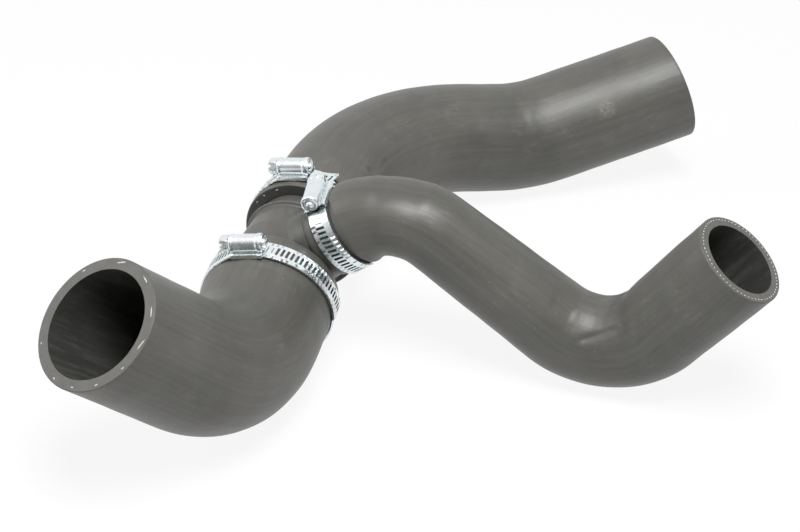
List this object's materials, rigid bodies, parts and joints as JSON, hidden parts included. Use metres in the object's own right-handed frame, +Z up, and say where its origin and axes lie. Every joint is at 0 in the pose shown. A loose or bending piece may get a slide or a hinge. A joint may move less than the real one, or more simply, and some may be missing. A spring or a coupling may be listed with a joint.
{
  "type": "radiator hose",
  "caption": "Branched coolant hose: wide elbow, wide long hose and narrow double-bend hose on a plastic tee, each end held by a worm-drive band clamp.",
  "frame": {"origin": "middle of the object's bounding box at the surface that it lies on", "axes": "+Z up; +Y from the wide elbow towards the long hose, along the tee's run; +X from the elbow towards the two far mouths"},
  "size_m": [0.3121, 0.3301, 0.1057],
  "materials": {
    "rubber_a": "matt moulded rubber",
    "rubber_b": "matt moulded rubber",
    "rubber_c": "matt moulded rubber",
    "plastic": "moulded black plastic",
    "band": "zinc plated strip",
    "housing": "zinc plated pressing",
    "screw": "zinc plated screw"
  },
  "bodies": {
    "root": {"hose_a_elbow": "rubber_a", "hose_b_long": "rubber_b", "hose_c_branch": "rubber_c", "tee_connector": "plastic", "clamp_a_band": "band", "clamp_b_band": "band", "clamp_c_band": "band", "clamp_a_housing": "housing", "clamp_b_housing": "housing", "clamp_c_housing": "housing", "clamp_a_screw": "screw", "clamp_b_screw": "screw", "clamp_c_screw": "screw"}
  },
  "joints": []
}
